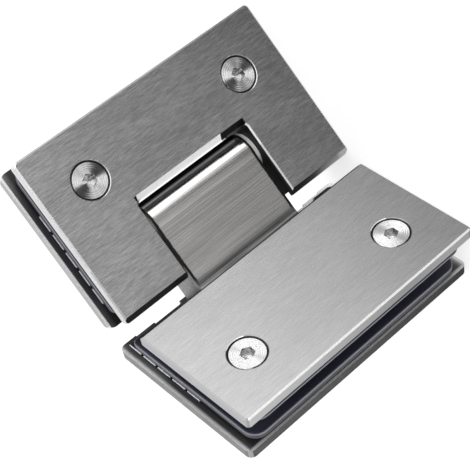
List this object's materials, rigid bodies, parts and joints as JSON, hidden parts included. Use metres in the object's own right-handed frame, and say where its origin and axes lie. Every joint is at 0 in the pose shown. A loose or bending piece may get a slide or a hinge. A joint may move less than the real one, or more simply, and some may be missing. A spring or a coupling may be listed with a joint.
{
  "type": "glass door hinge",
  "caption": "Glass-to-glass door hinge bent to 135 degrees: two brushed steel clamp leaves joined by a bent knuckle turning on a pin with sprung plungers",
  "frame": {"origin": "centre of the bounding box, on the plane of the plates' lower end faces", "axes": "+Z along the pivot pin, +X from the pin to the far edge of the door leaf, +Y through the door glass from the front plate to the back plate"},
  "size_m": [0.1032, 0.0554, 0.09],
  "materials": {
    "brushed_plate": "stainless steel, long-grain brushed along the pin",
    "brushed_knuckle": "stainless steel, brushed along the pin",
    "turned_screw": "turned stainless steel with fine rings",
    "pivot_steel": "ground stainless steel",
    "bronze_bush": "sintered bronze",
    "nylon_washer": "white nylon",
    "glass_gasket": "blue-grey clear rubber sheet",
    "spring_steel": "drawn spring wire"
  },
  "bodies": {
    "fixed_leaf": {"fixed_front_plate": "brushed_plate", "fixed_back_plate": "brushed_plate", "fixed_front_gasket": "glass_gasket", "fixed_back_gasket": "glass_gasket", "knuckle": "brushed_knuckle", "lower_bush": "bronze_bush", "upper_bush": "bronze_bush", "lower_thrust_washer": "nylon_washer", "upper_thrust_washer": "nylon_washer", "lower_plunger_spring": "spring_steel", "upper_plunger_spring": "spring_steel", "lower_spring_plug": "turned_screw", "upper_spring_plug": "turned_screw", "lower_knuckle_bolt": "turned_screw", "upper_knuckle_bolt": "turned_screw", "fixed_lower_clamp_screw": "turned_screw", "fixed_upper_clamp_screw": "turned_screw"},
    "door_leaf": {"door_front_plate": "brushed_plate", "door_back_plate": "brushed_plate", "door_front_gasket": "glass_gasket", "door_back_gasket": "glass_gasket", "pivot_pin": "pivot_steel", "lower_pivot_block": "pivot_steel", "upper_pivot_block": "pivot_steel", "lower_pin_set_screw": "turned_screw", "upper_pin_set_screw": "turned_screw", "lower_block_rear_screw": "turned_screw", "lower_block_front_screw": "turned_screw", "upper_block_rear_screw": "turned_screw", "upper_block_front_screw": "turned_screw", "door_lower_clamp_screw": "turned_screw", "door_upper_clamp_screw": "turned_screw"},
    "lower_detent": {"lower_plunger": "pivot_steel"},
    "upper_detent": {"upper_plunger": "pivot_steel"}
  },
  "joints": [
    {"name": "door_swing", "type": "hinge", "parent": "fixed_leaf", "child": "door_leaf", "pos_m": [0.01483, 0.01464, 0.045], "axis": [0, 0, 1], "range_deg": [-90, 90]},
    {"name": "lower_plunger_press", "type": "slide", "parent": "fixed_leaf", "child": "lower_detent", "axis": [-1, 0, 0], "range_m": [0, 0.001], "stiffness_N_per_m": 2000, "springref_m": -0.004, "deforming": ["lower_plunger_spring"]},
    {"name": "upper_plunger_press", "type": "slide", "parent": "fixed_leaf", "child": "upper_detent", "axis": [-1, 0, 0], "range_m": [0, 0.001], "stiffness_N_per_m": 2000, "springref_m": -0.004, "deforming": ["upper_plunger_spring"]}
  ]
}
